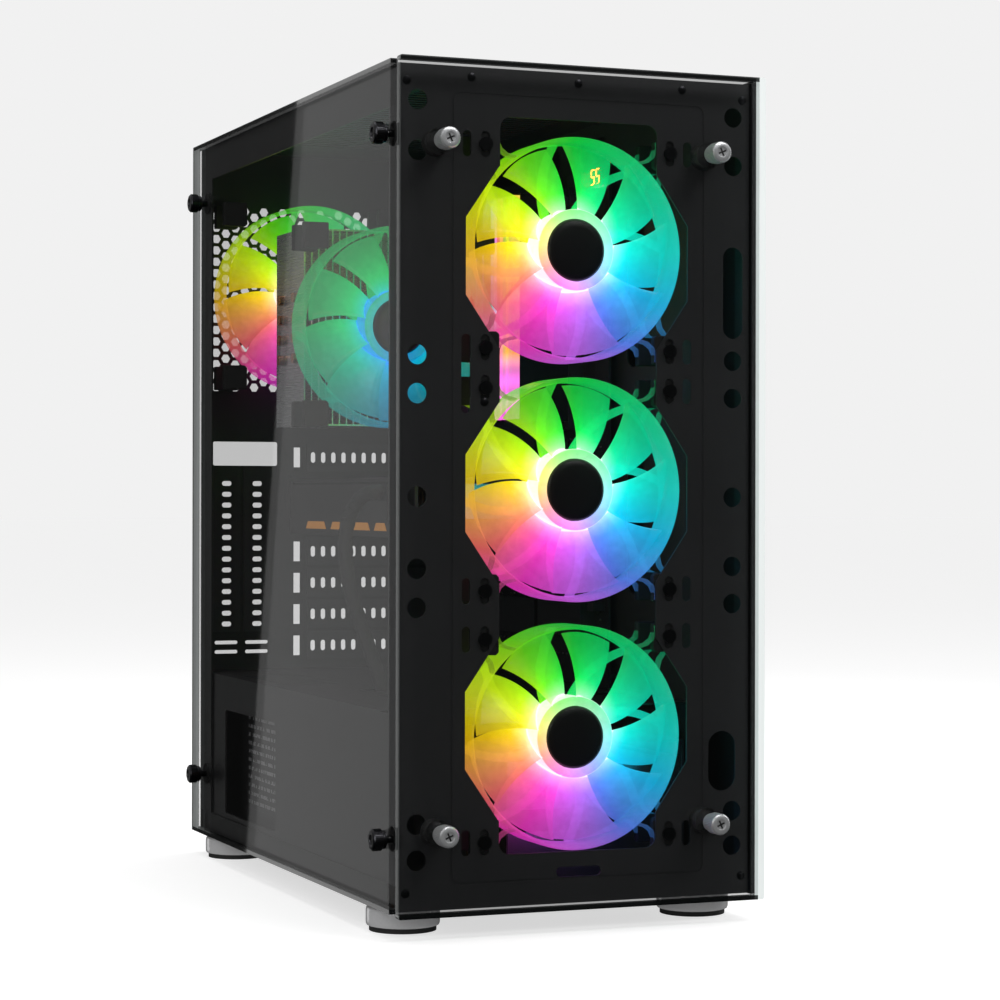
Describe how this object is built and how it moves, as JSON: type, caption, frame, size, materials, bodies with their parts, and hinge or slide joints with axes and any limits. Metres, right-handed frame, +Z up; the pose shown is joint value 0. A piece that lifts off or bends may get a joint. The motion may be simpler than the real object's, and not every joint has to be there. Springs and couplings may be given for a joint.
{
  "type": "desktop computer tower",
  "caption": "Upright desktop computer tower with a tinted glass front and side, rainbow-lit fans, chrome feet and a complete computer inside.",
  "frame": {"origin": "middle of the overall box in X and Y, on the surface that the feet stand on", "axes": "+X to the right seen from the front, +Y to the back, +Z up; the front glass faces -Y and the glass side faces -X"},
  "size_m": [0.218, 0.4124, 0.451],
  "materials": {
    "powder_steel": "fine satin powder coat",
    "inner_steel": "satin black sheet",
    "tinted_glass": "grey tinted, polished",
    "foot_chrome": "polished",
    "pad_rubber": "matt",
    "bright_screw": "turned and knurled",
    "black_screw": "black knurled",
    "board_black": "black solder mask",
    "heatsink_metal": "dark anodised",
    "bare_aluminium": "brushed",
    "socket_plastic": "black moulded",
    "memory_black": "black anodised",
    "memory_light": "lit diffuser",
    "pipe_copper": "nickel over copper",
    "clear_frame": "translucent",
    "lit_blade": "translucent, lit from the hub",
    "shroud_plastic": "black moulded",
    "cable_sleeve": "braided",
    "supply_steel": "fine black coat",
    "drive_metal": "cast and brushed",
    "filter_mesh": "fine black mesh",
    "button_plastic": "satin",
    "switch_red": "moulded",
    "shield_steel": "plated"
  },
  "bodies": {
    "chassis": {"base_pan": "powder_steel", "front_plate": "powder_steel", "rear_wall": "powder_steel", "top_panel": "powder_steel", "board_tray": "inner_steel", "psu_cover": "powder_steel", "feet": "foot_chrome", "foot_pads": "pad_rubber", "glass_standoffs": "pad_rubber", "slot_covers": "inner_steel", "io_shield": "shield_steel", "motherboard": "board_black", "board_heatsinks": "heatsink_metal", "board_sockets": "socket_plastic", "memory_sticks": "memory_black", "memory_light_bars": "memory_light", "cooler_fins": "bare_aluminium", "cooler_base": "pipe_copper", "cooler_fan_frame": "clear_frame", "rear_fan_frame": "clear_frame", "front_fan_frame_top": "clear_frame", "front_fan_frame_middle": "clear_frame", "front_fan_frame_bottom": "clear_frame", "fan_screws": "black_screw", "graphics_board": "board_black", "graphics_heatsink": "bare_aluminium", "graphics_shroud": "shroud_plastic", "graphics_backplate": "heatsink_metal", "power_cable": "cable_sleeve", "psu_case": "supply_steel", "psu_fittings": "socket_plastic", "drive_cage": "inner_steel", "drives": "drive_metal", "top_io_module": "socket_plastic"},
    "front_fan_rotor_top": {"front_fan_rotor_top": "lit_blade"},
    "front_fan_rotor_middle": {"front_fan_rotor_middle": "lit_blade"},
    "front_fan_rotor_bottom": {"front_fan_rotor_bottom": "lit_blade"},
    "rear_fan_rotor": {"rear_fan_rotor": "lit_blade"},
    "cooler_fan_rotor": {"cooler_fan_rotor": "lit_blade"},
    "graphics_fan_front": {"graphics_fan_front": "shroud_plastic"},
    "graphics_fan_rear": {"graphics_fan_rear": "shroud_plastic"},
    "psu_fan_rotor": {"psu_fan_rotor": "shroud_plastic"},
    "side_glass": {"side_glass": "tinted_glass"},
    "side_screw_top_front": {"side_screw_top_front": "black_screw"},
    "side_screw_top_rear": {"side_screw_top_rear": "black_screw"},
    "side_screw_low_front": {"side_screw_low_front": "black_screw"},
    "side_screw_low_rear": {"side_screw_low_rear": "black_screw"},
    "front_glass": {"front_glass": "tinted_glass"},
    "front_screw_top_left": {"front_screw_top_left": "bright_screw"},
    "front_screw_top_right": {"front_screw_top_right": "bright_screw"},
    "front_screw_low_left": {"front_screw_low_left": "bright_screw"},
    "front_screw_low_right": {"front_screw_low_right": "bright_screw"},
    "right_panel": {"right_panel": "powder_steel"},
    "right_screw_top": {"right_screw_top": "black_screw"},
    "right_screw_low": {"right_screw_low": "black_screw"},
    "top_filter": {"top_filter": "filter_mesh"},
    "base_filter": {"base_filter": "filter_mesh"},
    "power_button": {"power_button": "button_plastic"},
    "reset_button": {"reset_button": "button_plastic"},
    "psu_switch": {"psu_switch": "switch_red"}
  },
  "joints": [
    {"name": "front_fan_top_spin", "type": "hinge", "parent": "chassis", "child": "front_fan_rotor_top", "pos_m": [0.00415, -0.16775, 0.3568], "axis": [0, 1, 0], "continuous": true},
    {"name": "front_fan_middle_spin", "type": "hinge", "parent": "chassis", "child": "front_fan_rotor_middle", "pos_m": [0.00415, -0.16775, 0.2308], "axis": [0, 1, 0], "continuous": true},
    {"name": "front_fan_bottom_spin", "type": "hinge", "parent": "chassis", "child": "front_fan_rotor_bottom", "pos_m": [0.00415, -0.16775, 0.1008], "axis": [0, 1, 0], "continuous": true},
    {"name": "rear_fan_spin", "type": "hinge", "parent": "chassis", "child": "rear_fan_rotor", "pos_m": [-0.02935, 0.18425, 0.3545], "axis": [0, 1, 0], "continuous": true},
    {"name": "cooler_fan_spin", "type": "hinge", "parent": "chassis", "child": "cooler_fan_rotor", "pos_m": [-0.02735, 0.02275, 0.3269], "axis": [0, 1, 0], "continuous": true},
    {"name": "graphics_fan_front_spin", "type": "hinge", "parent": "chassis", "child": "graphics_fan_front", "pos_m": [0.0092, -0.00225, 0.208], "axis": [0, 0, 1], "continuous": true},
    {"name": "graphics_fan_rear_spin", "type": "hinge", "parent": "chassis", "child": "graphics_fan_rear", "pos_m": [0.0092, 0.10775, 0.208], "axis": [0, 0, 1], "continuous": true},
    {"name": "psu_fan_spin", "type": "hinge", "parent": "chassis", "child": "psu_fan_rotor", "pos_m": [-0.00485, 0.11875, 0.032], "axis": [0, 0, 1], "continuous": true},
    {"name": "side_glass_slide", "type": "slide", "parent": "chassis", "child": "side_glass", "axis": [-1, 0, 0], "range_m": [0, 0.06]},
    {"name": "front_glass_slide", "type": "slide", "parent": "chassis", "child": "front_glass", "axis": [0, -1, 0], "range_m": [0, 0.06]},
    {"name": "right_panel_slide", "type": "slide", "parent": "chassis", "child": "right_panel", "axis": [0, 1, 0], "range_m": [0, 0.02]},
    {"name": "side_screw_top_front_turn", "type": "hinge", "parent": "side_glass", "child": "side_screw_top_front", "pos_m": [-0.1042, -0.17705, 0.41275], "axis": [1, 0, 0], "continuous": true},
    {"name": "side_screw_top_rear_turn", "type": "hinge", "parent": "side_glass", "child": "side_screw_top_rear", "pos_m": [-0.1042, 0.18025, 0.41275], "axis": [1, 0, 0], "continuous": true},
    {"name": "side_screw_low_front_turn", "type": "hinge", "parent": "side_glass", "child": "side_screw_low_front", "pos_m": [-0.1042, -0.17705, 0.0517], "axis": [1, 0, 0], "continuous": true},
    {"name": "side_screw_low_rear_turn", "type": "hinge", "parent": "side_glass", "child": "side_screw_low_rear", "pos_m": [-0.1042, 0.18025, 0.0517], "axis": [1, 0, 0], "continuous": true},
    {"name": "front_screw_top_left_turn", "type": "hinge", "parent": "front_glass", "child": "front_screw_top_left", "pos_m": [-0.07665, -0.19325, 0.4085], "axis": [0, 1, 0], "continuous": true},
    {"name": "front_screw_top_right_turn", "type": "hinge", "parent": "front_glass", "child": "front_screw_top_right", "pos_m": [0.07565, -0.19325, 0.4085], "axis": [0, 1, 0], "continuous": true},
    {"name": "front_screw_low_left_turn", "type": "hinge", "parent": "front_glass", "child": "front_screw_low_left", "pos_m": [-0.07665, -0.19325, 0.055], "axis": [0, 1, 0], "continuous": true},
    {"name": "front_screw_low_right_turn", "type": "hinge", "parent": "front_glass", "child": "front_screw_low_right", "pos_m": [0.07565, -0.19325, 0.055], "axis": [0, 1, 0], "continuous": true},
    {"name": "right_screw_top_turn", "type": "hinge", "parent": "right_panel", "child": "right_screw_top", "pos_m": [0.0968, 0.19875, 0.40025], "axis": [0, 1, 0], "continuous": true},
    {"name": "right_screw_low_turn", "type": "hinge", "parent": "right_panel", "child": "right_screw_low", "pos_m": [0.0968, 0.19875, 0.0602], "axis": [0, 1, 0], "continuous": true},
    {"name": "top_filter_lift", "type": "slide", "parent": "chassis", "child": "top_filter", "axis": [0, 0, 1], "range_m": [0, 0.08]},
    {"name": "base_filter_slide", "type": "slide", "parent": "chassis", "child": "base_filter", "axis": [0, 1, 0], "range_m": [0, 0.14]},
    {"name": "power_button_press", "type": "slide", "parent": "chassis", "child": "power_button", "axis": [0, 0, -1], "range_m": [0, 0.0015], "stiffness_N_per_m": 500},
    {"name": "reset_button_press", "type": "slide", "parent": "chassis", "child": "reset_button", "axis": [0, 0, -1], "range_m": [0, 0.0015], "stiffness_N_per_m": 400},
    {"name": "psu_switch_rock", "type": "hinge", "parent": "chassis", "child": "psu_switch", "pos_m": [0.03615, 0.19275, 0.0765], "axis": [1, 0, 0], "range_deg": [-14, 0]}
  ]
}
